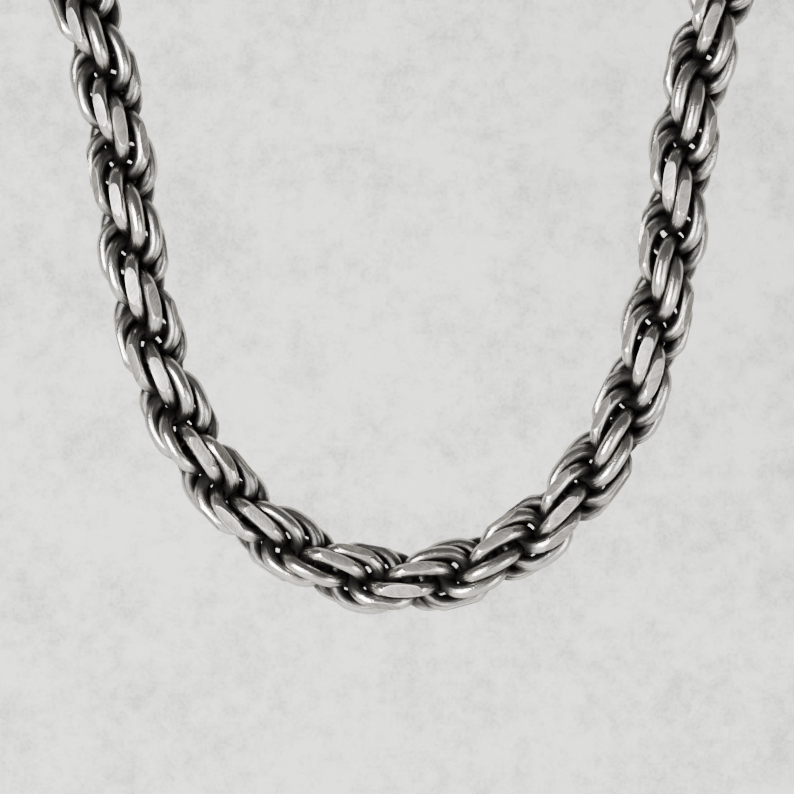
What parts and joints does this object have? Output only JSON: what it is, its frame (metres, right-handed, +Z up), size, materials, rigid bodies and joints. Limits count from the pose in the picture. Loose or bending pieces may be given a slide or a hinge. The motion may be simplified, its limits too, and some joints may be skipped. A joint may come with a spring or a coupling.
{
  "type": "rope chain necklace",
  "caption": "Heavy rope chain of round links with ground flats, laid one after the other in a left-handed screw, hanging in a U from the nape and closed by a plain barrel clasp.",
  "frame": {"origin": "point of the clasp's barrel that rests on the middle of the nape", "axes": "+Z up, -Y towards the wearer's front where the chain hangs lowest, +X to the right as seen from the front"},
  "size_m": [0.1259, 0.1267, 0.1561],
  "materials": {
    "chain_metal": "darkened silver, polished on the outside, black in the recesses, with finely scratched matte flats",
    "clasp_metal": "darkened silver, softly polished and finely scratched"
  },
  "bodies": {
    "root": {"chain_left": "chain_metal", "chain_right": "chain_metal", "clasp": "clasp_metal"}
  },
  "joints": []
}
